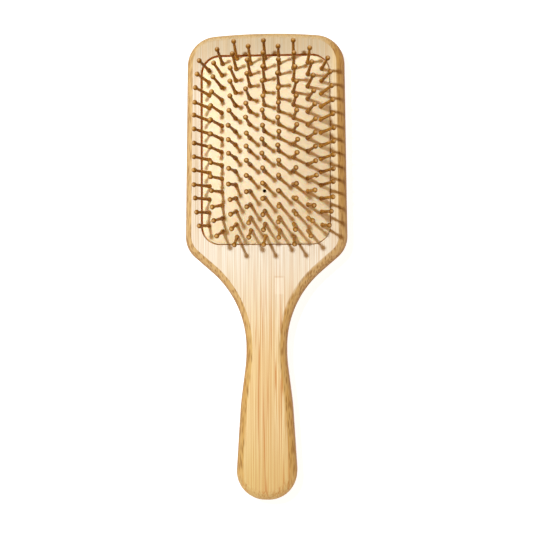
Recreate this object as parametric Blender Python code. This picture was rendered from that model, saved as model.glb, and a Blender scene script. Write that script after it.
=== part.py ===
"""Air-cushion paddle brush: a wooden paddle, a domed rubber cushion and nine columns of wooden pins.

Metres, +Z up. The brush lies on its flat back with its pins up, its head towards +Y and its handle
towards -Y. The origin is on the surface that it lies on, under the middle of the brush.
"""

import math

import bmesh
import bpy
from mathutils import Matrix, Vector
from mathutils.geometry import delaunay_2d_cdt

# Paddle
BRUSH_LENGTH = 0.2560
BOARD_THICKNESS = 0.0140
HEAD_TOP_HALF_WIDTH = 0.0432
HEAD_LOW_HALF_WIDTH = 0.0446
HEAD_CORNER_RADIUS = 0.0165
HEAD_TOP_ARC_RADIUS = 0.320
HEAD_TOP_SLOPE = math.radians(4.65)
HEAD_LOW_CORNER_RADIUS = 0.0150
HEAD_LOW_CORNER_Y = 0.0092
SHOULDER_SLOPE = math.radians(41.0)
NECK_HALF_WIDTH = 0.01115
NECK_CURVE_RADIUS = 0.0550
NECK_LOW_Y = -0.0515
NECK_LOW_RADIUS = 0.0800
GRIP_HALF_WIDTH = 0.0143
GRIP_Y = -0.0760
GRIP_RADIUS = 0.1500
HANDLE_END_HALF_WIDTH = 0.0176
HANDLE_END_RADIUS = 0.0156
FRONT_ROUNDOVER = 0.0042
BACK_ROUNDOVER = 0.0035
ROUNDOVER_STEPS = 3
ARC_SAGITTA = 0.00018

# Pocket in the head, and the groove that holds the cushion's flange
PAD_CENTRE_Y = 0.0633
OPENING_HALF_X = 0.0354
OPENING_HALF_Y = 0.0520
OPENING_CORNER_RADIUS = 0.0105
POCKET_DEPTH = 0.0082
GROOVE_TOP_DEPTH = 0.0022
GROOVE_HEIGHT = 0.0018
GROOVE_REACH = 0.0016

# Rubber cushion
DOME_HEIGHT = 0.0108
DOME_HALF_X = 0.0351
DOME_HALF_Y = 0.0517
DOME_POWER_X = 2.9
DOME_POWER_Y = 2.8
RUBBER_THICKNESS = 0.0013
EDGE_GAP = 0.0006
EDGE_ROUND = 0.0005
SKIRT_THICKNESS = 0.0010
FLANGE_GAP = 0.0004
NECK_CLEARANCE = 0.0005
BORE_SIDES = 4
VENT_RADIUS = 0.0008
VENT_ROWS_BELOW_CENTRE = 3.5

# Pins, whose pitches are measured along the curved rubber
COLUMN_PITCH = 0.00771
ROW_PITCH = 0.00707
PIN_FIELD_SHIFT_Y = 0.0008
PIN_LEAN = 0.81
ROWS_IN_COLUMN = (13, 14, 15, 14, 15, 14, 15, 14, 13)
PIN_LENGTH = 0.0160
BALL_RADIUS = 0.00135
SHANK_TOP_RADIUS = 0.00078
SHANK_LOW_RADIUS = 0.00092
SHOULDER_RADIUS = 0.00122
SHOULDER_HEIGHT = 0.0017
SHOULDER_GAP = 0.00035
PIN_NECK_RADIUS = 0.00070
FOOT_RADIUS = 0.00115
FOOT_THICKNESS = 0.0011
FOOT_GAP = 0.0004
PIN_SIDES = 6

FACE_Z = BOARD_THICKNESS


def clear_scene():
    for thing in list(bpy.data.objects):
        bpy.data.objects.remove(thing, do_unlink=True)


def material(name, colour, roughness):
    made = bpy.data.materials.new(name)
    made.use_nodes = True
    shader = made.node_tree.nodes["Principled BSDF"]
    shader.inputs["Base Color"].default_value = (*colour, 1.0)
    shader.inputs["Roughness"].default_value = roughness
    shader.inputs["Metallic"].default_value = 0.0
    return made


def new_object(name, bm, finish, origin=Vector((0, 0, 0)), smooth_below=40.0):
    """An object made from a bmesh in world coordinates, with its origin moved to the given point."""
    bmesh.ops.recalc_face_normals(bm, faces=bm.faces)
    bmesh.ops.translate(bm, verts=bm.verts, vec=-origin)
    mesh = bpy.data.meshes.new(name)
    bm.to_mesh(mesh)
    bm.free()
    mesh.shade_smooth()
    mesh.set_sharp_from_angle(angle=math.radians(smooth_below))
    mesh.materials.append(finish)
    made = bpy.data.objects.new(name, mesh)
    made.location = origin
    bpy.context.collection.objects.link(made)
    return made


def parent_to(child, parent):
    """Parents an object and keeps it where it is in the world."""
    world = child.location.copy()
    child.parent = parent
    child.location = world - parent.location


# Outlines in plan


def fillet(before, corner, after, radius):
    """Points along the arc that rounds a corner of a polygon, in order."""
    into = (before - corner).normalized()
    out = (after - corner).normalized()
    half_angle = into.angle(out) / 2
    reach = radius / math.tan(half_angle)
    centre = corner + (into + out).normalized() * radius / math.sin(half_angle)
    start = corner + into * reach - centre
    end = corner + out * reach - centre
    turn = math.pi - 2 * half_angle
    # an even number of steps puts a point on the middle of the arc
    steps = 2 * math.ceil(turn / (4 * math.acos(1 - ARC_SAGITTA / radius)))
    sign = 1 if start.x * end.y - start.y * end.x > 0 else -1
    points = []
    for i in range(steps + 1):
        angle = sign * turn * i / steps
        points.append(centre + Matrix.Rotation(angle, 2) @ start)
    return points


def rounded_polygon(corners):
    """An anticlockwise outline from (x, y, fillet radius) corners."""
    points = []
    count = len(corners)
    for i, (x, y, radius) in enumerate(corners):
        before = Vector(corners[i - 1][:2])
        after = Vector(corners[(i + 1) % count][:2])
        points += fillet(before, Vector((x, y)), after, radius)
    return points


def paddle_outline():
    """The paddle's outline, mirrored about its long axis."""
    top = BRUSH_LENGTH / 2
    slope_run = HEAD_LOW_HALF_WIDTH - NECK_HALF_WIDTH
    neck_corner_y = HEAD_LOW_CORNER_Y - slope_run * math.tan(SHOULDER_SLOPE)
    # the top edge is one shallow arc, and the lines that touch its ends meet above it on the axis
    crown_y = top + HEAD_TOP_ARC_RADIUS * (1 / math.cos(HEAD_TOP_SLOPE) - 1)
    head_corner_y = crown_y - HEAD_TOP_HALF_WIDTH * math.tan(HEAD_TOP_SLOPE)
    right_side = [
        (HANDLE_END_HALF_WIDTH, -top, HANDLE_END_RADIUS),
        (GRIP_HALF_WIDTH, GRIP_Y, GRIP_RADIUS),
        (NECK_HALF_WIDTH, NECK_LOW_Y, NECK_LOW_RADIUS),
        (NECK_HALF_WIDTH, neck_corner_y, NECK_CURVE_RADIUS),
        (HEAD_LOW_HALF_WIDTH, HEAD_LOW_CORNER_Y, HEAD_LOW_CORNER_RADIUS),
        (HEAD_TOP_HALF_WIDTH, head_corner_y, HEAD_CORNER_RADIUS),
    ]
    crown = [(0.0, crown_y, HEAD_TOP_ARC_RADIUS)]
    left_side = [(-x, y, radius) for x, y, radius in reversed(right_side)]
    return rounded_polygon(right_side + crown + left_side)


def rounded_rectangle(half_x, half_y, radius, centre_y):
    corners = [(half_x, -half_y), (half_x, half_y), (-half_x, half_y), (-half_x, -half_y)]
    return rounded_polygon([(x, y + centre_y, radius) for x, y in corners])


def pad_contour(outset):
    """The pocket opening's outline, moved outwards by outset, or inwards where it is negative."""
    return rounded_rectangle(
        OPENING_HALF_X + outset,
        OPENING_HALF_Y + outset,
        OPENING_CORNER_RADIUS + outset,
        PAD_CENTRE_Y,
    )


def inset(outline, distance):
    """An anticlockwise outline moved inwards, corner by corner, so that both have the same points."""
    moved = []
    count = len(outline)
    for i, point in enumerate(outline):
        along = (point - outline[i - 1]).normalized()
        onward = (outline[(i + 1) % count] - point).normalized()
        inward = Vector((-along.y - onward.y, along.x + onward.x)).normalized()
        moved.append(point + inward * distance / max(0.5, inward.dot(Vector((-along.y, along.x)))))
    return moved


# Mesh helpers


def add_loop(bm, points):
    return [bm.verts.new(point) for point in points]


def at_height(outline, z):
    return [Vector((point.x, point.y, z)) for point in outline]


def join_loops(bm, lower, upper, left_out=()):
    """Quads between two loops of the same length."""
    count = len(lower)
    for i in range(count):
        if i not in left_out:
            after = (i + 1) % count
            bm.faces.new((lower[i], lower[after], upper[after], upper[i]))


def loft(layers):
    """A closed solid through loops of the same length, each a list of points, capped at both ends."""
    bm = bmesh.new()
    loops = [add_loop(bm, layer) for layer in layers]
    for lower, upper in zip(loops, loops[1:]):
        join_loops(bm, lower, upper)
    bm.faces.new(list(reversed(loops[0])))
    bm.faces.new(loops[-1])
    return bm


# The dome, and the places of the pins on it


def bulge(distance, half, power):
    """The dome's section: 1 in the middle and 0 at the rim."""
    return 1 - min(1.0, abs(distance) / half) ** power


def dome_z(x, y):
    """Height of the cushion's top surface, with y counted from the middle of the pad."""
    across = bulge(x, DOME_HALF_X, DOME_POWER_X)
    along = bulge(y, DOME_HALF_Y, DOME_POWER_Y)
    return FACE_Z + DOME_HEIGHT * across * along


def pin_direction(x, y):
    """The way a pin points: a little less tilted than square to the dome."""
    step = 0.00005
    slope_x = (dome_z(x + step, y) - dome_z(x - step, y)) / (2 * step)
    slope_y = (dome_z(x, y + step) - dome_z(x, y - step)) / (2 * step)
    return Vector((-slope_x * PIN_LEAN, -slope_y * PIN_LEAN, 1)).normalized()


def plan_distance(walk, rise, half, power):
    """How far from the middle, seen in plan, one gets by walking so far over a section of the dome."""
    step = 0.0001
    reached = 0.0
    left = abs(walk)
    while left > 0:
        slope = rise * power / half * (reached / half) ** (power - 1)
        stride = min(left, step * math.hypot(1, slope))
        reached += stride / math.hypot(1, slope)
        left -= stride
    return math.copysign(reached, walk)


def on_dome(x, y):
    return Vector((x, y + PAD_CENTRE_Y, dome_z(x, y)))


def place_on_dome(across, along):
    """(x, y) in plan of a point so far across and along the curved rubber from its middle."""
    x = across
    y = along
    for _ in range(3):
        rise = DOME_HEIGHT * bulge(y, DOME_HALF_Y, DOME_POWER_Y)
        x = plan_distance(across, rise, DOME_HALF_X, DOME_POWER_X)
        rise = DOME_HEIGHT * bulge(x, DOME_HALF_X, DOME_POWER_X)
        y = plan_distance(along, rise, DOME_HALF_Y, DOME_POWER_Y)
    return x, y + PIN_FIELD_SHIFT_Y


def pin_places(column):
    """(x, y) of each pin in a column, y counted from the middle of the pad."""
    rows = ROWS_IN_COLUMN[column]
    across = (column - (len(ROWS_IN_COLUMN) - 1) / 2) * COLUMN_PITCH
    return [place_on_dome(across, (row - (rows - 1) / 2) * ROW_PITCH) for row in range(rows)]


def ring_round(place, height, radius, sides):
    """A ring about the pin at this place, at a height along it from the top of the rubber.

    The ring's sides 0 and half-way round face along the column, away from each other."""
    axis = pin_direction(*place)
    across = Vector((0, 1, 0)).cross(axis).normalized()
    along = axis.cross(across)
    centre = on_dome(*place) + axis * height
    # the polygon has the same area as the circle that it stands for
    reach = radius * math.sqrt(2 * math.pi / (sides * math.sin(2 * math.pi / sides)))
    points = []
    for i in range(sides):
        angle = 2 * math.pi * (i - 0.5) / sides
        points.append(centre + along * reach * math.cos(angle) + across * -reach * math.sin(angle))
    return points


# Sub-parts


def make_paddle(finish):
    outline = paddle_outline()
    layers = []
    for i in range(ROUNDOVER_STEPS + 1):
        angle = math.pi / 2 * i / ROUNDOVER_STEPS
        layer = inset(outline, BACK_ROUNDOVER * (1 - math.sin(angle)))
        layers.append(at_height(layer, BACK_ROUNDOVER * (1 - math.cos(angle))))
    for i in range(ROUNDOVER_STEPS + 1):
        angle = math.pi / 2 * i / ROUNDOVER_STEPS
        layer = inset(outline, FRONT_ROUNDOVER * (1 - math.cos(angle)))
        layers.append(at_height(layer, FACE_Z - FRONT_ROUNDOVER * (1 - math.sin(angle))))
    paddle = new_object("paddle_body", loft(layers), finish)

    groove_top = FACE_Z - GROOVE_TOP_DEPTH
    groove_floor = groove_top - GROOVE_HEIGHT
    cutter_steps = [
        (0.0, FACE_Z - POCKET_DEPTH),
        (0.0, groove_floor),
        (GROOVE_REACH, groove_floor),
        (GROOVE_REACH, groove_top),
        (0.0, groove_top),
        (0.0, FACE_Z + 0.001),
    ]
    wall = pad_contour(0.0)
    cutter_mesh = loft([at_height(inset(wall, -outset), z) for outset, z in cutter_steps])
    cutter = new_object("pocket_cutter", cutter_mesh, finish)
    cutter.hide_render = True
    cutter.display_type = "WIRE"
    cut = paddle.modifiers.new("pocket", "BOOLEAN")
    cut.operation = "DIFFERENCE"
    cut.object = cutter
    return paddle


def fill_between(bm, rim, holes):
    """Triangles over the plan of a rim loop, leaving out the loops of its holes."""
    loops = [rim, *holes]
    verts = [vert for loop in loops for vert in loop]
    edges = []
    loop_of = []
    for number, loop in enumerate(loops):
        first = len(loop_of)
        edges += [(first + i, first + (i + 1) % len(loop)) for i in range(len(loop))]
        loop_of += [number] * len(loop)
    plan = [vert.co.xy for vert in verts]
    inside_constraints = 1
    _, _, faces, origins, _, _ = delaunay_2d_cdt(plan, edges, [], inside_constraints, 1e-7)
    for face in faces:
        corners = [origins[i][0] for i in face]
        in_hole = len({loop_of[i] for i in corners}) == 1 and loop_of[corners[0]] > 0
        if not in_hole:
            bm.faces.new([verts[i] for i in corners])


def make_cushion(finish):
    edge = pad_contour(-EDGE_GAP)
    flange_top = FACE_Z - GROOVE_TOP_DEPTH - FLANGE_GAP
    flange_floor = FACE_Z - GROOVE_TOP_DEPTH - GROOVE_HEIGHT + FLANGE_GAP
    flange = inset(edge, -(EDGE_GAP + GROOVE_REACH - FLANGE_GAP))
    inner = inset(edge, SKIRT_THICKNESS)

    def rubber_top(outline, drop):
        return [Vector((p.x, p.y, dome_z(p.x, p.y - PAD_CENTRE_Y) - drop)) for p in outline]

    bm = bmesh.new()
    layers = [
        rubber_top(inset(edge, EDGE_ROUND), 0.0),
        rubber_top(edge, EDGE_ROUND),
        at_height(edge, flange_top),
        at_height(flange, flange_top),
        at_height(flange, flange_floor),
        at_height(inner, flange_floor),
        rubber_top(inner, RUBBER_THICKNESS),
    ]
    loops = [add_loop(bm, layer) for layer in layers]
    for upper, lower in zip(loops, loops[1:]):
        join_loops(bm, lower, upper)

    vent = place_on_dome(0.0, -VENT_ROWS_BELOW_CENTRE * ROW_PITCH)
    bores = [(vent, VENT_RADIUS)]
    for column in range(len(ROWS_IN_COLUMN)):
        bores += [(place, PIN_NECK_RADIUS + NECK_CLEARANCE) for place in pin_places(column)]
    upper_rings = []
    lower_rings = []
    for place, radius in bores:
        upper_rings.append(add_loop(bm, ring_round(place, 0.0, radius, BORE_SIDES)))
        lower_rings.append(add_loop(bm, ring_round(place, -RUBBER_THICKNESS, radius, BORE_SIDES)))
        join_loops(bm, lower_rings[-1], upper_rings[-1])
    fill_between(bm, loops[0], upper_rings)
    fill_between(bm, loops[-1], lower_rings)
    pad_middle = Vector((0, PAD_CENTRE_Y, FACE_Z))
    return new_object("rubber_cushion", bm, finish, origin=pad_middle)


def pin_profile():
    """(height, radius) up a pin from its foot, with height 0 at the top of the rubber."""
    foot_top = -RUBBER_THICKNESS - FOOT_GAP
    ball_middle = PIN_LENGTH - BALL_RADIUS
    return [
        (foot_top - FOOT_THICKNESS, FOOT_RADIUS),
        (foot_top, FOOT_RADIUS),
        (foot_top, PIN_NECK_RADIUS),
        (SHOULDER_GAP, PIN_NECK_RADIUS),
        (SHOULDER_GAP, SHOULDER_RADIUS),
        (SHOULDER_GAP + SHOULDER_HEIGHT, SHANK_LOW_RADIUS),
        (ball_middle - BALL_RADIUS * 0.8, SHANK_TOP_RADIUS),
        (ball_middle, BALL_RADIUS),
    ]


def add_pin(bm, place, is_first, is_last):
    """One pin. Its foot is open towards each neighbour. Returns the foot's two lowest rings."""
    towards_next = 0
    towards_previous = PIN_SIDES // 2
    open_sides = {side for side, end in ((towards_next, is_last), (towards_previous, is_first)) if not end}
    rings = [add_loop(bm, ring_round(place, height, radius, PIN_SIDES)) for height, radius in pin_profile()]
    for number, (lower, upper) in enumerate(zip(rings, rings[1:])):
        join_loops(bm, lower, upper, left_out=open_sides if number == 0 else ())
    bm.faces.new(list(reversed(rings[0])))
    tip = bm.verts.new(on_dome(*place) + pin_direction(*place) * PIN_LENGTH)
    for i in range(PIN_SIDES):
        bm.faces.new((rings[-1][i], rings[-1][(i + 1) % PIN_SIDES], tip))
    return rings[0], rings[1]


def link_feet(bm, foot, next_foot):
    """A bar from one pin's foot to the next one's, where both feet are open."""
    away = PIN_SIDES // 2
    here = [foot[0][0], foot[0][1], foot[1][1], foot[1][0]]
    there = [next_foot[0][away + 1], next_foot[0][away], next_foot[1][away], next_foot[1][away + 1]]
    join_loops(bm, here, there)


def column_axis_point(column):
    """A point on the line that a column rocks about: half-way up the rubber that it stands in."""
    places = pin_places(column)
    mean_x = sum(x for x, _ in places) / len(places)
    heights = [dome_z(*place) - RUBBER_THICKNESS / 2 for place in places]
    return Vector((mean_x, PAD_CENTRE_Y, (min(heights) + max(heights)) / 2))


def make_pin_column(column, finish):
    bm = bmesh.new()
    places = pin_places(column)
    feet = []
    for number, place in enumerate(places):
        feet.append(add_pin(bm, place, number == 0, number == len(places) - 1))
    for foot, next_foot in zip(feet, feet[1:]):
        link_feet(bm, foot, next_foot)
    return new_object(f"pin_column_{column + 1}", bm, finish, origin=column_axis_point(column))


def main():
    clear_scene()
    bamboo = material("bamboo", (0.80, 0.62, 0.38), 0.45)
    rubber = material("natural_rubber", (0.90, 0.76, 0.52), 0.60)
    pin_wood = material("pin_wood", (0.42, 0.20, 0.06), 0.40)

    paddle = make_paddle(bamboo)
    press = bpy.data.objects.new("cushion_press", None)
    press.location = (0, PAD_CENTRE_Y, FACE_Z)
    bpy.context.collection.objects.link(press)
    parent_to(make_cushion(rubber), press)
    for column in range(len(ROWS_IN_COLUMN)):
        parent_to(make_pin_column(column, pin_wood), press)
    parent_to(press, paddle)


main()
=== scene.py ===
import math

import bmesh
import bpy
import numpy as np
from mathutils import Matrix, Vector
from mathutils.geometry import delaunay_2d_cdt


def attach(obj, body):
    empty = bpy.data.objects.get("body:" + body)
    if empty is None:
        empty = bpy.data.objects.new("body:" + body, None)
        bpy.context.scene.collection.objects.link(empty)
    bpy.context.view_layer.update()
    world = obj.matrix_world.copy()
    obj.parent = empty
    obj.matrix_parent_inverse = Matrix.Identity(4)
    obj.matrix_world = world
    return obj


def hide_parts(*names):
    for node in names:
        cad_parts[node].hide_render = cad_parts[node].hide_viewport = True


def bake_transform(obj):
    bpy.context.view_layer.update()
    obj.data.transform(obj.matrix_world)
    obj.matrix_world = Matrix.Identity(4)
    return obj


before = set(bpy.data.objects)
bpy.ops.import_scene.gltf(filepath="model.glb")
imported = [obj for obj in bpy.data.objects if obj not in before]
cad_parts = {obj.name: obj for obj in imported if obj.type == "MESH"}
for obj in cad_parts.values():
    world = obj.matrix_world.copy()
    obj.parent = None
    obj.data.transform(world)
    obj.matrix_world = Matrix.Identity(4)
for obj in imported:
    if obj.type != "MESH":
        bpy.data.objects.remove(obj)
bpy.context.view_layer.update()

# Paddle, in metres
TOP_Y = 0.1280
BOARD_THICKNESS = 0.0140
FACE_Z = BOARD_THICKNESS
HEAD_TOP_HALF_WIDTH = 0.0432
HEAD_LOW_HALF_WIDTH = 0.0446
HEAD_CORNER_RADIUS = 0.0165
HEAD_TOP_ARC_RADIUS = 0.320
HEAD_TOP_SLOPE = math.radians(4.65)
HEAD_LOW_CORNER_RADIUS = 0.0150
HEAD_LOW_CORNER_Y = 0.0092
SHOULDER_SLOPE = math.radians(41.0)
NECK_HALF_WIDTH = 0.01115
NECK_CURVE_RADIUS = 0.0550
NECK_LOW_Y = -0.0515
NECK_LOW_RADIUS = 0.0800
GRIP_HALF_WIDTH = 0.0143
GRIP_Y = -0.0760
GRIP_RADIUS = 0.1500
HANDLE_END_HALF_WIDTH = 0.0176
HANDLE_END_RADIUS = 0.0156
HEAD_ROUNDOVER = 0.0042
GRIP_ROUNDOVER = 0.0052
BACK_ROUNDOVER = 0.0035
GRIP_ROUNDOVER_FROM_Y = -0.030
GRIP_ROUNDOVER_RUN = 0.060
ROUNDOVER_LEAN = 0.0008
LEAN_RIGHT = 0.75
LEAN_DOWN = 0.66
ROUNDOVER_SWEEP = math.radians(68)
ROUNDOVER_STEPS = 12
ROUNDOVER_SMOOTHINGS = 12
FACE_LAND = 0.0006
POCKET_LAND = 0.0005
OUTLINE_STEP = 0.006
ARC_SAGITTA = 0.000006
MERGE_DISTANCE = 1e-7
SHAPE_SLACK = 0.00002

# Pocket and rubber cushion
PAD_CENTRE_Y = 0.0633
OPENING_HALF_X = 0.0354
OPENING_HALF_Y = 0.0520
OPENING_CORNER_RADIUS = 0.0105
OPENING_EDGE_ROUND = 0.0003
OPENING_ROUND_STEPS = 4
POCKET_DEPTH = 0.0082
GROOVE_TOP_DEPTH = 0.0022
GROOVE_HEIGHT = 0.0018
GROOVE_REACH = 0.0016
DOME_HEIGHT = 0.0108
DOME_HALF_X = 0.0351
DOME_HALF_Y = 0.0517
DOME_POWER_X = 2.9
DOME_POWER_Y = 2.8
RUBBER_THICKNESS = 0.0013
EDGE_GAP = 0.0007
EDGE_SHIFT = 0.0003
EDGE_ROUND = 0.0005
EDGE_ROUND_STEPS = 5
EDGE_STEP = 0.0015
SKIRT_THICKNESS = 0.0010
FLANGE_GAP = 0.0004
RUBBER_GRID = 0.0012
COLLAR_HEIGHT = 0.00015
COLLAR_TOP_RADIUS = 0.0012
COLLAR_RADIUS = 0.0017
COLLAR_FOOT_RADIUS = 0.0023
VENT_RADIUS = 0.00095
VENT_ROWS_BELOW_CENTRE = 3.5

# Pins
COLUMN_PITCH = 0.00771
ROW_PITCH = 0.00707
PIN_FIELD_SHIFT_Y = 0.0008
PIN_LEAN = 0.81
ROWS_IN_COLUMN = (13, 14, 15, 14, 15, 14, 15, 14, 13)
PIN_LENGTH = 0.0160
BALL_RADIUS = 0.00135
SHANK_TOP_RADIUS = 0.00073
SHANK_LOW_RADIUS = 0.00087
SHOULDER_RADIUS = 0.00125
PIN_NECK_RADIUS = 0.00070
BORE_RADIUS = 0.00072
FOOT_RADIUS = 0.00115
FOOT_THICKNESS = 0.0011
FOOT_GAP = 0.0002
PIN_SIDES = 16
PIN_WANDER = math.radians(1.2)
PIN_SEED = 11

# Bamboo figure
STRIP_WIDTH = 0.0052
STRIP_SWAY = 0.0009
STRIP_HUE_OFFSET = 31.7
STRIP_GRAIN_SHIFT = 0.37
KNUCKLE_X = 0.0072
KNUCKLE_Y = -0.0111
KNUCKLE_HALF_X = 0.0027
KNUCKLE_HALF_Y = 0.0049

# Stretches over which a look comes in or goes out, each from its first x, y or z to its second
GRIP_Y_SPAN = (0.012, -0.060)
GRIP_END_Y_SPAN = (-0.105, -0.124)
GRIP_END_WOOD_Y_SPAN = (-0.080, -0.120)
LOW_CROWN_Y_SPAN = (0.005, 0.050)
HIGH_CROWN_Y_SPAN = (0.090, 0.128)
BROW_Y_SPAN = (0.095, 0.126)
RIGHT_X_SPAN = (0.0345, 0.0380)
RIGHT_Y_SPAN = (0.004, 0.040)
LIT_EDGE_RIGHT_X_SPAN = (0.028, 0.040)
LIT_EDGE_LEFT_X_SPAN = (-0.0410, -0.0365)
KNUCKLE_RIM_Y_SPAN = (-0.014, -0.007)
POCKET_X_SPAN = (0.0375, 0.0378)
POCKET_Y_SPAN = (0.0545, 0.0548)
POCKET_TOP_Z_SPAN = (FACE_Z - 0.00012, FACE_Z - 0.00001)
POCKET_FLOOR_Z_SPAN = (FACE_Z - POCKET_DEPTH - 0.0005, FACE_Z - POCKET_DEPTH - 0.0002)
POCKET_RIM_SHADE_Z_SPAN = (FACE_Z - 0.0006, FACE_Z - 0.0002)
SKIRT_Z_SPAN = (FACE_Z - 0.0012, FACE_Z - 0.0002)

# Density of the grain, per metre along x, y and z
BROAD_FIBRES = (420.0, 6.0, 420.0)
FINE_FIBRES = (1500.0, 9.0, 1500.0)
VEIN_FIBRES = (420.0, 5.0, 420.0)
FIBRE_BUNDLES = (1050.0, 160.0, 1050.0)
PIN_FIBRES = (1900.0, 1900.0, 260.0)
RUBBER_MOTTLE = 160.0
RUBBER_SPECKLE = 1500.0
FLOOR_TOOTH = 900.0

# How deep red, green and blue light goes into the rubber
RUBBER_SCATTER = (0.0022, 0.0012, 0.0006)

# Colours, linear red, green and blue
PALE_STRIP = (0.885, 0.845, 0.72)
WARM_STRIP = (0.865, 0.815, 0.66)
DEEP_STRIP = (0.68, 0.49, 0.23)
RIGHT_SIDE_PAINTED_SHADE = (0.81, 0.61, 0.28)
STRIP_SEAM = (0.58, 0.36, 0.14)
CROWN_PAINTED_SHADE = (0.60, 0.50, 0.32)
BROW_PAINTED_SHADE = (0.44, 0.36, 0.21)
PALE_GRIP = (0.90, 0.76, 0.42)
WARM_GRIP = (0.86, 0.68, 0.33)
GRIP_END_WOOD = (0.80, 0.62, 0.25)
BROAD_GRAIN = (0.70, 0.50, 0.24)
HEAD_STREAK = (0.60, 0.42, 0.20)
GRIP_STREAK = (0.68, 0.38, 0.11)
CROWN_STREAK_IN_PAINTED_SHADE = (0.46, 0.30, 0.13)
VEIN = (0.62, 0.28, 0.08)
KNUCKLE_PATCH = (0.94, 0.86, 0.68)
KNUCKLE_RIM = (0.62, 0.40, 0.18)
ROUNDED_EDGE = (0.58, 0.350, 0.090)
RIGHT_EDGE_PAINTED_SHADE = (0.42, 0.200, 0.018)
BOARD_SIDE = (0.32, 0.125, 0.012)
LIT_SIDE_PAINTED_LIGHT = (0.30, 0.18, 0.045)
FIBRE_END = (0.27, 0.115, 0.022)
DEEP_POCKET_SHADE = (0.62, 0.28, 0.08)
POCKET_RIM_SHADE = (0.36, 0.15, 0.04)
LIT_POCKET_WALL_PAINTED_LIGHT = (0.86, 0.66, 0.40)
PALE_RUBBER = (0.885, 0.735, 0.480)
DEEP_RUBBER = (0.865, 0.695, 0.430)
RUBBER_SPECK = (0.76, 0.55, 0.30)
RUBBER_SKIRT_PAINTED_SHADE = (0.85, 0.40, 0.10)
PALE_PIN = (0.54, 0.260, 0.036)
WARM_PIN = (0.41, 0.180, 0.022)
PALE_PIN_GRAIN = (0.28, 0.115, 0.012)
WARM_PIN_GRAIN = (0.19, 0.070, 0.008)
BALL_WAIST_PAINTED_SHADE = (0.17, 0.068, 0.009)
TIP_PAINTED_HIGHLIGHT = (0.72, 0.52, 0.27)
PIN_SHEEN = (1.0, 0.78, 0.45)
PALE_FLOOR = (0.41, 0.41, 0.41)
DEEP_FLOOR = (0.39, 0.39, 0.39)
FLOOR_GLOW = (1.0, 1.0, 1.0)
HORIZON = (0.95, 0.94, 0.91)
OVERHEAD = (0.36, 0.155, 0.002)
KEY_LIGHT = (0.885, 1.030, 1.19)
SOFT_LIGHT = (1.0, 0.85, 0.65)

# Studio, in metres, watts and radians
FLOOR_HALF_WIDTH = 6.0
FLOOR_Z = -0.0002
FLOOR_GLOW_STRENGTH = 0.90
HORIZON_TOP = 0.345
OVERHEAD_FROM = 0.38
LIGHT_AIM = Vector((0.0, 0.03, 0.014))
KEY_PLACE = Vector((-0.194, 0.200, 0.590))
KEY_DIAMETER = 0.05
KEY_POWER = 3.6
SOFT_PLACE = Vector((-0.45, 0.30, 0.80))
SOFT_DIAMETER = 0.6
SOFT_POWER = 0.6
CAMERA_PLACE = (0.02625, -0.00977, 0.41585)
CAMERA_TURN = (0.01545, 0.04289, -0.00322)
CAMERA_SHIFT_X = -0.03
CAMERA_SHIFT_Y = 0.01
LENS_MM = 50.0
SENSOR_MM = 36.0


# Outlines in plan


def fillet(before, corner, after, radius):
    """Points along the arc that rounds a corner of a polygon, in order."""
    into = (before - corner).normalized()
    out = (after - corner).normalized()
    half_angle = into.angle(out) / 2
    reach = radius / math.tan(half_angle)
    centre = corner + (into + out).normalized() * radius / math.sin(half_angle)
    start = corner + into * reach - centre
    end = corner + out * reach - centre
    turn = math.pi - 2 * half_angle
    steps = 2 * math.ceil(turn / (4 * math.acos(1 - ARC_SAGITTA / radius)))
    sign = 1 if start.x * end.y - start.y * end.x > 0 else -1
    return [centre + Matrix.Rotation(sign * turn * i / steps, 2) @ start for i in range(steps + 1)]


def rounded_polygon(corners):
    """An anticlockwise outline from (x, y, fillet radius) corners."""
    points = []
    for i, (x, y, radius) in enumerate(corners):
        before = Vector(corners[i - 1][:2])
        after = Vector(corners[(i + 1) % len(corners)][:2])
        points += fillet(before, Vector((x, y)), after, radius)
    return points


def paddle_outline():
    slope_run = HEAD_LOW_HALF_WIDTH - NECK_HALF_WIDTH
    neck_corner_y = HEAD_LOW_CORNER_Y - slope_run * math.tan(SHOULDER_SLOPE)
    crown_y = TOP_Y + HEAD_TOP_ARC_RADIUS * (1 / math.cos(HEAD_TOP_SLOPE) - 1)
    head_corner_y = crown_y - HEAD_TOP_HALF_WIDTH * math.tan(HEAD_TOP_SLOPE)
    right_side = [
        (HANDLE_END_HALF_WIDTH, -TOP_Y, HANDLE_END_RADIUS),
        (GRIP_HALF_WIDTH, GRIP_Y, GRIP_RADIUS),
        (NECK_HALF_WIDTH, NECK_LOW_Y, NECK_LOW_RADIUS),
        (NECK_HALF_WIDTH, neck_corner_y, NECK_CURVE_RADIUS),
        (HEAD_LOW_HALF_WIDTH, HEAD_LOW_CORNER_Y, HEAD_LOW_CORNER_RADIUS),
        (HEAD_TOP_HALF_WIDTH, head_corner_y, HEAD_CORNER_RADIUS),
    ]
    crown = [(0.0, crown_y, HEAD_TOP_ARC_RADIUS)]
    left_side = [(-x, y, radius) for x, y, radius in reversed(right_side)]
    return inset(rounded_polygon(right_side + crown + left_side), SHAPE_SLACK)


def pad_contour(outset):
    half_x = OPENING_HALF_X + outset
    half_y = OPENING_HALF_Y + outset
    corners = [(half_x, -half_y), (half_x, half_y), (-half_x, half_y), (-half_x, -half_y)]
    return rounded_polygon([(x, y + PAD_CENTRE_Y, OPENING_CORNER_RADIUS + outset) for x, y in corners])


def inset(outline, distance):
    """An anticlockwise outline moved inwards, by one distance or by a list with one for each point."""
    moved = []
    for i, point in enumerate(outline):
        along = (point - outline[i - 1]).normalized()
        onward = (outline[(i + 1) % len(outline)] - point).normalized()
        inward = Vector((-along.y - onward.y, along.x + onward.x)).normalized()
        far = distance[i] if isinstance(distance, list) else distance
        moved.append(point + inward * far / max(0.5, inward.dot(Vector((-along.y, along.x)))))
    return moved


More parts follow.
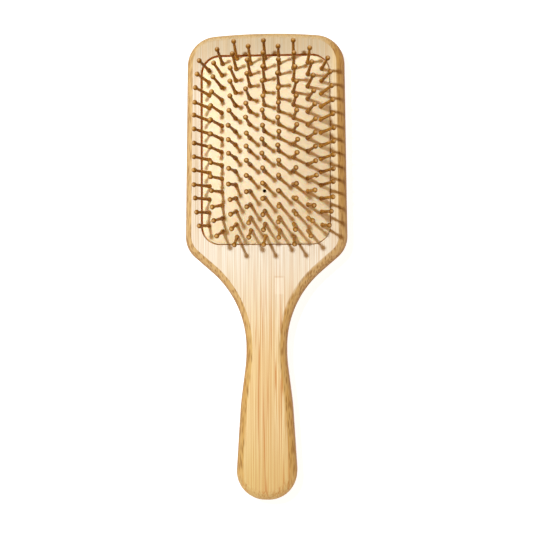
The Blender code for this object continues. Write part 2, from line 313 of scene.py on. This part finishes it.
def split_long(outline, longest):
    """The same outline with points added along its straight sides."""
    points = []
    for i, point in enumerate(outline):
        after = outline[(i + 1) % len(outline)]
        pieces = max(1, math.ceil((after - point).length / longest))
        points += [point.lerp(after, k / pieces) for k in range(pieces)]
    return points


# Mesh helpers


def new_object(name, bm, finish, smooth_below=40.0):
    bmesh.ops.recalc_face_normals(bm, faces=bm.faces)
    mesh = bpy.data.meshes.new(name)
    bm.to_mesh(mesh)
    bm.free()
    mesh.shade_smooth()
    mesh.set_sharp_from_angle(angle=math.radians(smooth_below))
    mesh.materials.append(finish)
    made = bpy.data.objects.new(name, mesh)
    bpy.context.scene.collection.objects.link(made)
    return made


def add_loop(bm, points):
    return [bm.verts.new(point) for point in points]


def at_height(outline, z):
    return [Vector((point.x, point.y, z)) for point in outline]


def join_loops(bm, lower, upper):
    count = len(lower)
    for i in range(count):
        after = (i + 1) % count
        bm.faces.new((lower[i], lower[after], upper[after], upper[i]))


def fill_between(bm, rim, holes, loose=()):
    """Triangles over the plan of a rim loop, through the loose vertices, leaving out the holes."""
    loops = [rim, *holes]
    verts = [vert for loop in loops for vert in loop] + list(loose)
    edges = []
    loop_of = []
    for number, loop in enumerate(loops):
        first = len(loop_of)
        edges += [(first + i, first + (i + 1) % len(loop)) for i in range(len(loop))]
        loop_of += [number] * len(loop)
    loop_of += [-1] * len(loose)
    plan = [vert.co.xy for vert in verts]
    triangles_inside = 1
    _, _, faces, origins, _, _ = delaunay_2d_cdt(plan, edges, [], triangles_inside, MERGE_DISTANCE)
    for face in faces:
        corners = [origins[i][0] for i in face]
        in_hole = len({loop_of[i] for i in corners}) == 1 and loop_of[corners[0]] > 0
        if not in_hole:
            bm.faces.new([verts[i] for i in corners])


# The dome, and the places of the pins on it


def bulge(distance, half, power):
    """1 on the middle line of the dome, falling to 0 at half its width."""
    return 1 - min(1.0, abs(distance) / half) ** power


def dome_z(x, y):
    across = bulge(x, DOME_HALF_X, DOME_POWER_X)
    along = bulge(y, DOME_HALF_Y, DOME_POWER_Y)
    return FACE_Z + DOME_HEIGHT * across * along


def pin_direction(x, y):
    """Which way a pin points: PIN_LEAN of the way from upright to square to the dome."""
    step = 0.00005
    slope_x = (dome_z(x + step, y) - dome_z(x - step, y)) / (2 * step)
    slope_y = (dome_z(x, y + step) - dome_z(x, y - step)) / (2 * step)
    return Vector((-slope_x * PIN_LEAN, -slope_y * PIN_LEAN, 1)).normalized()


def plan_distance(walk, rise, half, power):
    """How far from the middle, in plan, a walk over the curve of a dome of this rise ends."""
    step = 0.0001
    reached = 0.0
    left = abs(walk)
    while left > 0:
        slope = rise * power / half * (reached / half) ** (power - 1)
        stride = min(left, step * math.hypot(1, slope))
        reached += stride / math.hypot(1, slope)
        left -= stride
    return math.copysign(reached, walk)


def place_on_dome(across, along):
    """The plan place of a spot marked on the flat rubber, before it was pressed to a dome."""
    x = across
    y = along
    for _ in range(3):
        rise = DOME_HEIGHT * bulge(y, DOME_HALF_Y, DOME_POWER_Y)
        x = plan_distance(across, rise, DOME_HALF_X, DOME_POWER_X)
        rise = DOME_HEIGHT * bulge(x, DOME_HALF_X, DOME_POWER_X)
        y = plan_distance(along, rise, DOME_HALF_Y, DOME_POWER_Y)
    return x, y + PIN_FIELD_SHIFT_Y


def pin_places(column):
    rows = ROWS_IN_COLUMN[column]
    across = (column - (len(ROWS_IN_COLUMN) - 1) / 2) * COLUMN_PITCH
    return [place_on_dome(across, (row - (rows - 1) / 2) * ROW_PITCH) for row in range(rows)]


def on_dome(x, y):
    """The point on top of the rubber, for a plan place counted from the middle of the pad."""
    return Vector((x, y + PAD_CENTRE_Y, dome_z(x, y)))


def ring_round(base, axis, height, radius, sides):
    across = Vector((0, 1, 0)).cross(axis).normalized()
    along = axis.cross(across)
    centre = base + axis * height
    points = []
    for i in range(sides):
        angle = 2 * math.pi * i / sides
        points.append(centre + along * radius * math.cos(angle) - across * radius * math.sin(angle))
    return points


# Materials


class Shader:
    """Short words for building a node material."""

    def __init__(self, name):
        self.material = bpy.data.materials.new(name)
        self.material.use_nodes = True
        self.tree = self.material.node_tree
        self.surface = self.tree.nodes["Principled BSDF"]

    def node(self, kind, **settings):
        made = self.tree.nodes.new(kind)
        for key, value in settings.items():
            setattr(made, key, value)
        return made

    def put(self, socket, value):
        if isinstance(value, bpy.types.NodeSocket):
            self.tree.links.new(value, socket)
        elif isinstance(value, (tuple, list)) and socket.type == "RGBA" and len(value) == 3:
            socket.default_value = (*value, 1.0)
        else:
            socket.default_value = value

    def math(self, operation, a, b=0.0):
        made = self.node("ShaderNodeMath", operation=operation)
        self.put(made.inputs[0], a)
        self.put(made.inputs[1], b)
        return made.outputs[0]

    def times(self, a, b):
        return self.math("MULTIPLY", a, b)

    def plus(self, a, b):
        return self.math("ADD", a, b)

    def minus(self, a, b):
        return self.math("SUBTRACT", a, b)

    def size(self, a):
        return self.math("ABSOLUTE", a)

    def place(self):
        return self.node("ShaderNodeTexCoord").outputs["Object"]

    def scaled(self, vector, scale):
        made = self.node("ShaderNodeVectorMath", operation="MULTIPLY")
        self.put(made.inputs[0], vector)
        made.inputs[1].default_value = scale
        return made.outputs[0]

    def split(self, vector):
        made = self.node("ShaderNodeSeparateXYZ")
        self.put(made.inputs[0], vector)
        return made.outputs

    def join(self, x, y, z):
        made = self.node("ShaderNodeCombineXYZ")
        self.put(made.inputs[0], x)
        self.put(made.inputs[1], y)
        self.put(made.inputs[2], z)
        return made.outputs[0]

    def noise(self, vector, scale=1.0, detail=2.0, roughness=0.5):
        made = self.node("ShaderNodeTexNoise")
        self.put(made.inputs["Vector"], vector)
        made.inputs["Scale"].default_value = scale
        made.inputs["Detail"].default_value = detail
        made.inputs["Roughness"].default_value = roughness
        return made.outputs["Fac"]

    def cells(self, vector):
        made = self.node("ShaderNodeTexVoronoi")
        self.put(made.inputs["Vector"], vector)
        made.inputs["Scale"].default_value = 1.0
        return made.outputs["Distance"]

    def random(self, value):
        made = self.node("ShaderNodeTexWhiteNoise", noise_dimensions="1D")
        self.put(made.inputs["W"], value)
        return made.outputs["Value"]

    def span(self, value, low, high, to_low=0.0, to_high=1.0):
        """Value from low..high turned smoothly into to_low..to_high."""
        made = self.node("ShaderNodeMapRange", interpolation_type="SMOOTHSTEP")
        self.put(made.inputs["Value"], value)
        made.inputs["From Min"].default_value = low
        made.inputs["From Max"].default_value = high
        made.inputs["To Min"].default_value = to_low
        made.inputs["To Max"].default_value = to_high
        return made.outputs["Result"]

    def mix(self, factor, a, b):
        made = self.node("ShaderNodeMix", data_type="RGBA")
        self.put(made.inputs["Factor"], factor)
        self.put(made.inputs["A"], a)
        self.put(made.inputs["B"], b)
        return made.outputs["Result"]

    def attribute(self, name):
        return self.node("ShaderNodeAttribute", attribute_name=name).outputs["Fac"]

    def set_bump(self, height, strength, distance):
        made = self.node("ShaderNodeBump")
        self.put(made.inputs["Height"], height)
        made.inputs["Strength"].default_value = strength
        made.inputs["Distance"].default_value = distance
        self.put(self.surface.inputs["Normal"], made.outputs["Normal"])


def bamboo_strips(s, x, place):
    """The number of the laminated strip at each point, and 1 on the glue seams between strips."""
    sway = s.noise(s.scaled(place, (0.0, 9.0, 0.0)), detail=1.0)
    strip_at = s.math("DIVIDE", s.plus(x, s.times(sway, STRIP_SWAY)), STRIP_WIDTH)
    in_strip = s.math("FRACT", strip_at)
    to_seam = s.math("MINIMUM", in_strip, s.minus(1.0, in_strip))
    return s.math("FLOOR", strip_at), s.span(to_seam, 0.0, 0.05, 1.0, 0.0)


def bamboo_zones(s, x, y):
    """Masks, 1 inside, for stretches of the board: the grip and its end, whose wood has another tone, and
    the crown and right side, which are painted darker, painted shade.
    """
    grip = s.span(y, *GRIP_Y_SPAN)
    grip_end = s.span(y, *GRIP_END_Y_SPAN)
    crown = s.plus(s.span(y, *LOW_CROWN_Y_SPAN, 0.0, 0.36), s.span(y, *HIGH_CROWN_Y_SPAN, 0.0, 0.64))
    # painted shade: the right side of the head, away from the key light, is painted darker
    right = s.times(s.span(x, *RIGHT_X_SPAN), s.span(y, *RIGHT_Y_SPAN))
    return grip, grip_end, crown, right


def bamboo_wood(s, strip, y, grip, crown):
    """The wood of each strip, by its own tone and hue, golden on the grip, and painted darker towards the
    top of the head, painted shade.
    """
    tone = s.random(strip)
    hue = s.random(s.plus(strip, STRIP_HUE_OFFSET))
    colour = s.mix(hue, PALE_STRIP, WARM_STRIP)
    # painted shade: darker towards the top of the head, and darker again along its top edge
    colour = s.mix(crown, colour, CROWN_PAINTED_SHADE)
    colour = s.mix(s.times(s.span(y, *BROW_Y_SPAN), 0.4), colour, BROW_PAINTED_SHADE)
    gold = s.mix(hue, PALE_GRIP, WARM_GRIP)
    gold = s.mix(s.span(y, *GRIP_END_WOOD_Y_SPAN), gold, GRIP_END_WOOD)
    colour = s.mix(s.times(grip, 0.95), colour, gold)
    return s.mix(s.span(tone, 0.0, 1.0, 0.0, 0.12), colour, DEEP_STRIP)


def bamboo_grain(s, colour, broad, fine, vein, grip, crown):
    """Broad grain, fine streaks and dark veins, drawn over the colour."""
    colour = s.mix(s.span(broad, 0.40, 0.66, 0.0, 0.24), colour, BROAD_GRAIN)
    streak = s.mix(grip, HEAD_STREAK, GRIP_STREAK)
    # painted shade: the streaks on the crown are painted darker too
    streak = s.mix(crown, streak, CROWN_STREAK_IN_PAINTED_SHADE)
    streaky = s.times(s.span(fine, 0.44, 0.62), s.span(grip, 0.0, 1.0, 0.64, 0.78))
    colour = s.mix(streaky, colour, streak)
    veined = s.span(s.size(s.minus(vein, 0.54)), 0.006, 0.034, 1.0, 0.0)
    veined = s.times(veined, s.span(grip, 0.0, 1.0, 0.14, 0.85))
    return s.mix(veined, colour, VEIN)


def knuckle(s, x, y):
    """The pale patch of a bamboo joint at the top of the neck, and its darker upper rim."""
    across = s.math("DIVIDE", s.size(s.minus(x, KNUCKLE_X)), KNUCKLE_HALF_X)
    along = s.math("DIVIDE", s.size(s.minus(y, KNUCKLE_Y)), KNUCKLE_HALF_Y)
    reach = s.math("MAXIMUM", across, along)
    patch = s.span(reach, 0.80, 1.02, 1.0, 0.0)
    rim = s.span(s.size(s.minus(reach, 1.0)), 0.0, 0.16, 1.0, 0.0)
    return patch, s.times(rim, s.span(y, *KNUCKLE_RIM_Y_SPAN))


def bamboo_edge(s, x, rise, grip, grip_end, crown):
    """Masks for the rounded edge, for the board's side, and for the crown's edge, which is painted paler
    and narrower where the key light falls on it, painted light.
    """
    # painted light: across the crown, except at its right end, the edge band is made paler and narrower
    lit_edge = s.times(s.span(x, *LIT_EDGE_RIGHT_X_SPAN, 1.0, 0.0), s.span(x, *LIT_EDGE_LEFT_X_SPAN, 0.35, 1.0))
    lit_edge = s.times(crown, lit_edge)
    slim_rise = s.plus(rise, s.times(grip, 0.028))
    edge = s.times(s.span(slim_rise, 0.990, 0.950), s.minus(1.0, lit_edge))
    edge = s.plus(edge, s.times(s.span(rise, 0.990, 0.70), lit_edge))
    edge = s.times(edge, s.minus(1.0, s.times(grip_end, 0.72)))
    side = s.times(s.span(rise, 0.95, 0.25), s.minus(1.0, s.times(grip_end, 0.8)))
    return edge, side, lit_edge


def in_pocket(s, x, y, z):
    """1 on the walls and floor of the pocket, 0 elsewhere."""
    within_x = s.span(s.size(x), *POCKET_X_SPAN, 1.0, 0.0)
    within_y = s.span(s.size(s.minus(y, PAD_CENTRE_Y)), *POCKET_Y_SPAN, 1.0, 0.0)
    below = s.span(z, *POCKET_TOP_Z_SPAN, 1.0, 0.0)
    above = s.span(z, *POCKET_FLOOR_Z_SPAN)
    return s.times(s.times(within_x, within_y), s.times(below, above))


def bamboo_material():
    s = Shader("bamboo")
    place = s.place()
    x, y, z = s.split(place)
    normal = s.split(s.node("ShaderNodeNewGeometry").outputs["Normal"])
    strip, seam = bamboo_strips(s, x, place)
    grip, grip_end, crown, right = bamboo_zones(s, x, y)

    # fibres run along the board and start anew in each strip
    fibres = s.join(s.plus(x, s.times(strip, STRIP_GRAIN_SHIFT)), y, z)
    broad = s.noise(s.scaled(fibres, BROAD_FIBRES), detail=2.0)
    fine = s.noise(s.scaled(fibres, FINE_FIBRES), detail=3.0, roughness=0.7)
    vein = s.noise(s.scaled(fibres, VEIN_FIBRES), detail=1.0)
    colour = bamboo_wood(s, strip, y, grip, crown)
    colour = bamboo_grain(s, colour, broad, fine, vein, grip, crown)

    # painted shade: the right side of the head is painted darker and more golden, as if in shade
    colour = s.mix(s.times(right, 0.55), colour, RIGHT_SIDE_PAINTED_SHADE)
    patch, rim = knuckle(s, x, y)
    colour = s.mix(s.times(patch, 0.30), colour, KNUCKLE_PATCH)
    colour = s.mix(s.times(rim, s.span(broad, 0.3, 0.6, 0.15, 0.50)), colour, KNUCKLE_RIM)
    colour = s.mix(s.times(seam, 0.12), colour, STRIP_SEAM)

    # the rounded edge cuts across denser fibres; across the crown it is painted paler and narrower,
    # painted light where the key light falls on it
    edge, side, lit_edge = bamboo_edge(s, x, s.size(normal[2]), grip, grip_end, crown)
    # painted shade: on the right the edge band is painted darker still
    colour = s.mix(s.times(edge, 0.80), colour, s.mix(right, ROUNDED_EDGE, RIGHT_EDGE_PAINTED_SHADE))
    # painted light: on the crown the board's side is painted paler
    colour = s.mix(s.times(side, 0.82), colour, s.mix(lit_edge, BOARD_SIDE, LIT_SIDE_PAINTED_LIGHT))

    # on the edge the fibres end, and their ends are dots
    bundle = s.cells(s.scaled(fibres, FIBRE_BUNDLES))
    specks = s.times(s.span(bundle, 0.18, 0.58, 1.0, 0.0), s.times(edge, 0.70))
    colour = s.mix(specks, colour, FIBRE_END)

    # painted shade: the pocket is painted dark orange-brown, darkest just under its rim
    pocket_light_and_shade = s.mix(s.span(z, *POCKET_RIM_SHADE_Z_SPAN), DEEP_POCKET_SHADE, POCKET_RIM_SHADE)
    # painted light: walls that face up and left, towards the key light, are painted pale
    pocket_light_and_shade = s.mix(s.span(s.minus(normal[1], normal[0]), 0.1, 0.7), pocket_light_and_shade, LIT_POCKET_WALL_PAINTED_LIGHT)
    colour = s.mix(in_pocket(s, x, y, z), colour, pocket_light_and_shade)

    s.put(s.surface.inputs["Base Color"], colour)
    s.put(s.surface.inputs["Roughness"], s.span(fine, 0.3, 0.8, 0.42, 0.58))
    s.surface.inputs["Specular IOR Level"].default_value = 0.22
    s.set_bump(s.minus(s.times(fine, 0.6), s.times(specks, 0.5)), 0.25, 0.0002)
    return s.material


def rubber_material():
    s = Shader("natural_rubber")
    place = s.place()
    mottle = s.noise(place, scale=RUBBER_MOTTLE, detail=3.0)
    speck = s.noise(place, scale=RUBBER_SPECKLE, detail=2.0, roughness=0.7)
    colour = s.mix(s.span(mottle, 0.3, 0.7), PALE_RUBBER, DEEP_RUBBER)
    colour = s.mix(s.span(speck, 0.45, 0.75, 0.0, 0.25), colour, RUBBER_SPECK)
    # painted shade: the skirt of the rubber, down in the gap by the pocket wall, is painted dark orange
    skirt = s.span(s.split(place)[2], *SKIRT_Z_SPAN, 1.0, 0.0)
    colour = s.mix(s.times(skirt, 0.8), colour, RUBBER_SKIRT_PAINTED_SHADE)
    s.put(s.surface.inputs["Base Color"], colour)
    s.put(s.surface.inputs["Roughness"], s.span(speck, 0.3, 0.7, 0.52, 0.66))
    s.surface.inputs["Specular IOR Level"].default_value = 0.3
    s.surface.inputs["Subsurface Weight"].default_value = 0.35
    s.surface.inputs["Subsurface Radius"].default_value = RUBBER_SCATTER
    s.surface.inputs["Subsurface Scale"].default_value = 1.0
    s.set_bump(s.plus(s.times(speck, 0.4), mottle), 0.2, 0.0002)
    return s.material


def pin_material():
    """Turned wood. The meshes carry pin_tone, 0 to 1, and pin_tip, -1 below the ball tip to 1 on top."""
    s = Shader("pin_wood")
    grain = s.noise(s.scaled(s.place(), PIN_FIBRES), detail=3.0, roughness=0.6)
    tone = s.attribute("pin_tone")
    light = s.mix(tone, PALE_PIN, WARM_PIN)
    dark = s.mix(tone, PALE_PIN_GRAIN, WARM_PIN_GRAIN)
    colour = s.mix(s.span(grain, 0.38, 0.62), light, dark)
    up_ball = s.attribute("pin_tip")
    # painted shade: a dark ring round the ball, from below its middle to near its top
    waist_shade = s.times(s.span(up_ball, -0.6, -0.2), s.span(up_ball, 0.55, 0.92, 1.0, 0.0))
    colour = s.mix(s.times(waist_shade, 0.62), colour, BALL_WAIST_PAINTED_SHADE)
    # painted highlight: the top of each ball is painted pale
    colour = s.mix(s.span(up_ball, 0.80, 1.00, 0.0, 0.40), colour, TIP_PAINTED_HIGHLIGHT)
    s.put(s.surface.inputs["Base Color"], colour)
    s.put(s.surface.inputs["Roughness"], s.span(grain, 0.3, 0.7, 0.36, 0.5))
    s.surface.inputs["Specular IOR Level"].default_value = 0.12
    s.surface.inputs["Specular Tint"].default_value = (*PIN_SHEEN, 1.0)
    s.set_bump(grain, 0.25, 0.00015)
    return s.material


def floor_material():
    s = Shader("studio_floor")
    tooth = s.noise(s.place(), scale=FLOOR_TOOTH, detail=2.0)
    s.put(s.surface.inputs["Base Color"], s.mix(tooth, PALE_FLOOR, DEEP_FLOOR))
    s.surface.inputs["Roughness"].default_value = 0.9
    s.surface.inputs["Emission Color"].default_value = (*FLOOR_GLOW, 1.0)
    s.surface.inputs["Emission Strength"].default_value = FLOOR_GLOW_STRENGTH
    return s.material


# Pieces


def roundover_widths(outline):
    """The width of the hand-sanded edge at each point, wider on the right and at the end of the grip."""
    widths = []
    for i, point in enumerate(outline):
        along = (outline[(i + 1) % len(outline)] - outline[i - 1]).normalized()
        share = min(1.0, max(0.0, (GRIP_ROUNDOVER_FROM_Y - point.y) / GRIP_ROUNDOVER_RUN))
        width = HEAD_ROUNDOVER + (GRIP_ROUNDOVER - HEAD_ROUNDOVER) * share * share * (3 - 2 * share)
        widths.append(width + ROUNDOVER_LEAN * (LEAN_RIGHT * along.y + LEAN_DOWN * along.x))
    for _ in range(ROUNDOVER_SMOOTHINGS):
        onward = widths[1:] + widths[:1]
        widths = [(widths[i - 1] + 2 * width + onward[i]) / 4 for i, width in enumerate(widths)]
    return widths


def board_layers():
    """Outlines up the outside of the board, from its back to its face."""
    outline = split_long(paddle_outline(), OUTLINE_STEP)
    widths = roundover_widths(outline)
    layers = [at_height(inset(outline, BACK_ROUNDOVER + FACE_LAND), SHAPE_SLACK)]
    for i in range(ROUNDOVER_STEPS + 1):
        angle = math.pi / 2 * i / ROUNDOVER_STEPS
        layer = inset(outline, BACK_ROUNDOVER * (1 - math.sin(angle)))
        layers.append(at_height(layer, BACK_ROUNDOVER * (1 - math.cos(angle)) + SHAPE_SLACK))
    for i in range(ROUNDOVER_STEPS + 1):
        angle = ROUNDOVER_SWEEP * i / ROUNDOVER_STEPS
        share = (1 - math.cos(angle)) / (1 - math.cos(ROUNDOVER_SWEEP))
        drop = 1 - math.sin(angle) / math.sin(ROUNDOVER_SWEEP)
        layer = inset(outline, [width * share for width in widths])
        layers.append(at_height(layer, FACE_Z - HEAD_ROUNDOVER * drop))
    layers.append(at_height(inset(outline, [width + FACE_LAND for width in widths]), FACE_Z))
    return layers


def pocket_layers():
    """Outlines down the pocket: the face, the eased rim, the undercut groove and the wall to its floor."""
    groove_top = FACE_Z - GROOVE_TOP_DEPTH
    groove_floor = groove_top - GROOVE_HEIGHT
    profile = [(OPENING_EDGE_ROUND + POCKET_LAND, FACE_Z)]
    for i in range(OPENING_ROUND_STEPS + 1):
        angle = math.pi / 2 * i / OPENING_ROUND_STEPS
        outset = OPENING_EDGE_ROUND * (1 - math.sin(angle))
        profile.append((outset, FACE_Z - OPENING_EDGE_ROUND * (1 - math.cos(angle))))
    profile += [
        (0.0, groove_top),
        (GROOVE_REACH, groove_top),
        (GROOVE_REACH, groove_floor),
        (0.0, groove_floor),
        (0.0, FACE_Z - POCKET_DEPTH),
    ]
    wall = pad_contour(0.0)
    return [at_height(inset(wall, -outset), z) for outset, z in profile]


def make_paddle(finish):
    bm = bmesh.new()
    outside = [add_loop(bm, layer) for layer in board_layers()]
    for lower, upper in zip(outside, outside[1:]):
        join_loops(bm, lower, upper)
    bm.faces.new(list(reversed(outside[0])))
    inside = [add_loop(bm, layer) for layer in pocket_layers()]
    for upper, lower in zip(inside, inside[1:]):
        join_loops(bm, upper, lower)
    bm.faces.new(inside[-1])
    fill_between(bm, outside[-1], [inside[0]])
    return new_object("bamboo_paddle", bm, finish, smooth_below=14.0)


def rubber_rim_layers():
    """Outlines round the rim of the rubber: down its skirt, round its flange and up to its underside."""
    # the cushion sits a little low and to the right, so its gap is widest at the top left
    shift = Vector((EDGE_SHIFT, -EDGE_SHIFT))
    edge = [point + shift for point in split_long(pad_contour(-EDGE_GAP), EDGE_STEP)]
    flange_top = FACE_Z - GROOVE_TOP_DEPTH - FLANGE_GAP
    flange_floor = FACE_Z - GROOVE_TOP_DEPTH - GROOVE_HEIGHT + FLANGE_GAP
    flange = inset(edge, -(EDGE_GAP + GROOVE_REACH - FLANGE_GAP))
    inner = inset(edge, SKIRT_THICKNESS)

    def below_dome(outline, drop):
        return [Vector((p.x, p.y, dome_z(p.x, p.y - PAD_CENTRE_Y) - drop)) for p in outline]

    layers = []
    for i in range(EDGE_ROUND_STEPS + 1):
        angle = math.pi / 2 * i / EDGE_ROUND_STEPS
        layer = inset(edge, EDGE_ROUND * (1 - math.sin(angle)))
        layers.append(below_dome(layer, EDGE_ROUND * (1 - math.cos(angle))))
    layers += [
        at_height(edge, flange_top),
        at_height(flange, flange_top),
        at_height(flange, flange_floor),
        at_height(inner, flange_floor),
        below_dome(inner, RUBBER_THICKNESS),
    ]
    return layers


def rubber_bores():
    """(place, radius, collar height) of the vent and of the bore for each pin."""
    vent = place_on_dome(0.0, -VENT_ROWS_BELOW_CENTRE * ROW_PITCH)
    bores = [(vent, VENT_RADIUS, 0.0)]
    for column in range(len(ROWS_IN_COLUMN)):
        bores += [(place, BORE_RADIUS, COLLAR_HEIGHT) for place in pin_places(column)]
    return bores


def dome_grid(bores):
    """A grid of points on the dome, clear of its rim and of the collars round its bores."""
    places = np.array([place for place, _, _ in bores])
    clear = COLLAR_FOOT_RADIUS + RUBBER_GRID * 0.6
    margin = EDGE_GAP + EDGE_ROUND + EDGE_SHIFT + RUBBER_GRID * 0.5
    points = []
    for x in np.arange(-DOME_HALF_X, DOME_HALF_X, RUBBER_GRID):
        for y in np.arange(-DOME_HALF_Y, DOME_HALF_Y, RUBBER_GRID):
            corner_x = abs(x) - (OPENING_HALF_X - OPENING_CORNER_RADIUS)
            corner_y = abs(y) - (OPENING_HALF_Y - OPENING_CORNER_RADIUS)
            from_corner = math.hypot(max(0.0, corner_x), max(0.0, corner_y))
            off_rim = from_corner <= OPENING_CORNER_RADIUS - margin
            if off_rim and np.hypot(places[:, 0] - x, places[:, 1] - y).min() >= clear:
                points.append(on_dome(x, y))
    return points


def make_cushion(finish):
    bm = bmesh.new()
    loops = [add_loop(bm, layer) for layer in rubber_rim_layers()]
    for upper, lower in zip(loops, loops[1:]):
        join_loops(bm, lower, upper)

    bores = rubber_bores()
    upper_rings = []
    lower_rings = []
    loose = []
    for place, radius, collar in bores:
        base = on_dome(*place)
        axis = pin_direction(*place)
        upper_rings.append(add_loop(bm, ring_round(base, axis, 0.0, radius, PIN_SIDES)))
        lower_rings.append(add_loop(bm, ring_round(base, axis, -RUBBER_THICKNESS, radius, PIN_SIDES)))
        join_loops(bm, lower_rings[-1], upper_rings[-1])
        for reach, share in ((COLLAR_TOP_RADIUS, 1.0), (COLLAR_RADIUS, 0.5), (COLLAR_FOOT_RADIUS, 0.0)):
            for point in ring_round(base, axis, 0.0, reach, PIN_SIDES):
                point.z = dome_z(point.x, point.y - PAD_CENTRE_Y) + collar * share
                loose.append(bm.verts.new(point))
    loose += add_loop(bm, dome_grid(bores))

    fill_between(bm, loops[0], upper_rings, loose)
    fill_between(bm, loops[-1], lower_rings)
    bmesh.ops.delete(bm, geom=[vert for vert in bm.verts if not vert.link_faces], context="VERTS")
    return new_object("rubber_dome", bm, finish)


def pin_profile():
    """(height, radius) up a turned pin, with height 0 at the top of the rubber."""
    foot_top = -RUBBER_THICKNESS - FOOT_GAP
    ball_middle = PIN_LENGTH - BALL_RADIUS
    profile = [
        (foot_top - FOOT_THICKNESS, FOOT_RADIUS * 0.8),
        (foot_top - FOOT_THICKNESS * 0.8, FOOT_RADIUS),
        (foot_top, FOOT_RADIUS),
        (foot_top, PIN_NECK_RADIUS),
        (COLLAR_HEIGHT * 0.6, PIN_NECK_RADIUS),
        (COLLAR_HEIGHT + 0.00005, SHOULDER_RADIUS * 0.84),
        (COLLAR_HEIGHT + 0.00025, SHOULDER_RADIUS * 0.95),
        (0.00070, SHOULDER_RADIUS),
        (0.00120, SHOULDER_RADIUS),
        (0.00170, SHOULDER_RADIUS * 0.95),
        (0.00220, SHOULDER_RADIUS * 0.83),
        (0.00280, SHANK_LOW_RADIUS * 1.06),
        (0.00450, SHANK_LOW_RADIUS),
        (0.00800, SHANK_LOW_RADIUS * 0.95),
        (0.01100, SHANK_TOP_RADIUS * 1.02),
        (ball_middle - BALL_RADIUS * 1.15, SHANK_TOP_RADIUS),
        (ball_middle - BALL_RADIUS * 0.90, SHANK_TOP_RADIUS * 1.06),
    ]
    for degrees in (-46, -34, -20, -5, 10, 25, 40, 54, 67, 79):
        angle = math.radians(degrees)
        profile.append((ball_middle + BALL_RADIUS * math.sin(angle), BALL_RADIUS * math.cos(angle)))
    return profile


def make_pin_column(column, finish, chance):
    profile = pin_profile()
    bm = bmesh.new()
    tones = []
    tips = []
    for place in pin_places(column):
        base = on_dome(*place)
        axis = pin_direction(*place)
        turn = chance.uniform(0, 2 * math.pi)
        tilt = min(2.0 * PIN_WANDER, abs(chance.normal(0, PIN_WANDER)))
        axis = (axis + Vector((math.cos(turn), math.sin(turn), 0)) * math.tan(tilt)).normalized()
        tone = chance.uniform(0, 1)
        rings = [add_loop(bm, ring_round(base, axis, height, radius, PIN_SIDES))
                 for height, radius in profile]
        for lower, upper in zip(rings, rings[1:]):
            join_loops(bm, lower, upper)
        bm.faces.new(list(reversed(rings[0])))
        tip = bm.verts.new(base + axis * PIN_LENGTH)
        for i in range(PIN_SIDES):
            bm.faces.new((rings[-1][i], rings[-1][(i + 1) % PIN_SIDES], tip))
        tones += [tone] * (len(rings) * PIN_SIDES + 1)
        for height, _ in profile:
            tips += [max(-1.0, (height - PIN_LENGTH + BALL_RADIUS) / BALL_RADIUS)] * PIN_SIDES
        tips.append(1.0)
    made = new_object(f"pins_{column + 1}", bm, finish, smooth_below=60.0)
    for name, values in (("pin_tone", tones), ("pin_tip", tips)):
        stored = made.data.attributes.new(name, "FLOAT", "POINT")
        stored.data.foreach_set("value", np.array(values, np.float32))
    return made


def area_light(name, place, diameter, power, colour):
    data = bpy.data.lights.new(name, "AREA")
    data.shape = "DISK"
    data.size = diameter
    data.energy = power
    data.color = colour
    made = bpy.data.objects.new(name, data)
    made.location = place
    made.rotation_euler = (LIGHT_AIM - place).to_track_quat("-Z", "Y").to_euler()
    bpy.context.scene.collection.objects.link(made)


def make_floor():
    half = FLOOR_HALF_WIDTH
    corners = [(-half, -half), (half, -half), (half, half), (-half, half)]
    bm = bmesh.new()
    bm.faces.new(add_loop(bm, [(x, y, FLOOR_Z) for x, y in corners]))
    new_object("floor", bm, floor_material())


def make_sky():
    """A pale horizon, so that low views have a pale backdrop, under a warm light from overhead."""
    world = bpy.data.worlds.new("studio")
    bpy.context.scene.world = world
    world.use_nodes = True
    tree = world.node_tree
    direction = tree.nodes.new("ShaderNodeSeparateXYZ")
    climb = tree.nodes.new("ShaderNodeMapRange")
    sky = tree.nodes.new("ShaderNodeMix")
    climb.interpolation_type = "SMOOTHSTEP"
    climb.inputs["From Min"].default_value = HORIZON_TOP
    climb.inputs["From Max"].default_value = OVERHEAD_FROM
    sky.data_type = "RGBA"
    sky.inputs["A"].default_value = (*HORIZON, 1.0)
    sky.inputs["B"].default_value = (*OVERHEAD, 1.0)
    tree.links.new(tree.nodes.new("ShaderNodeTexCoord").outputs["Generated"], direction.inputs[0])
    tree.links.new(direction.outputs["Z"], climb.inputs["Value"])
    tree.links.new(climb.outputs["Result"], sky.inputs["Factor"])
    tree.links.new(sky.outputs["Result"], tree.nodes["Background"].inputs["Color"])


def make_camera():
    data = bpy.data.cameras.new("camera")
    data.lens = LENS_MM
    data.sensor_width = SENSOR_MM
    data.clip_start = 0.01
    data.shift_x = CAMERA_SHIFT_X
    data.shift_y = CAMERA_SHIFT_Y
    made = bpy.data.objects.new("camera", data)
    made.location = CAMERA_PLACE
    made.rotation_euler = CAMERA_TURN
    bpy.context.scene.collection.objects.link(made)
    bpy.context.scene.camera = made


bpy.context.scene.view_settings.view_transform = "Standard"

paddle = make_paddle(bamboo_material())
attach(paddle, "paddle")
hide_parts("paddle_body")

rubber = make_cushion(rubber_material())
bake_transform(rubber)
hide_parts("rubber_cushion")

pin_finish = pin_material()
chance = np.random.default_rng(PIN_SEED)
for column in range(len(ROWS_IN_COLUMN)):
    pins = make_pin_column(column, pin_finish, chance)
    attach(pins, f"column_{column + 1}")
    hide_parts(f"pin_column_{column + 1}")

make_floor()
make_sky()
area_light("key", KEY_PLACE, KEY_DIAMETER, KEY_POWER, KEY_LIGHT)
area_light("soft", SOFT_PLACE, SOFT_DIAMETER, SOFT_POWER, SOFT_LIGHT)
make_camera()
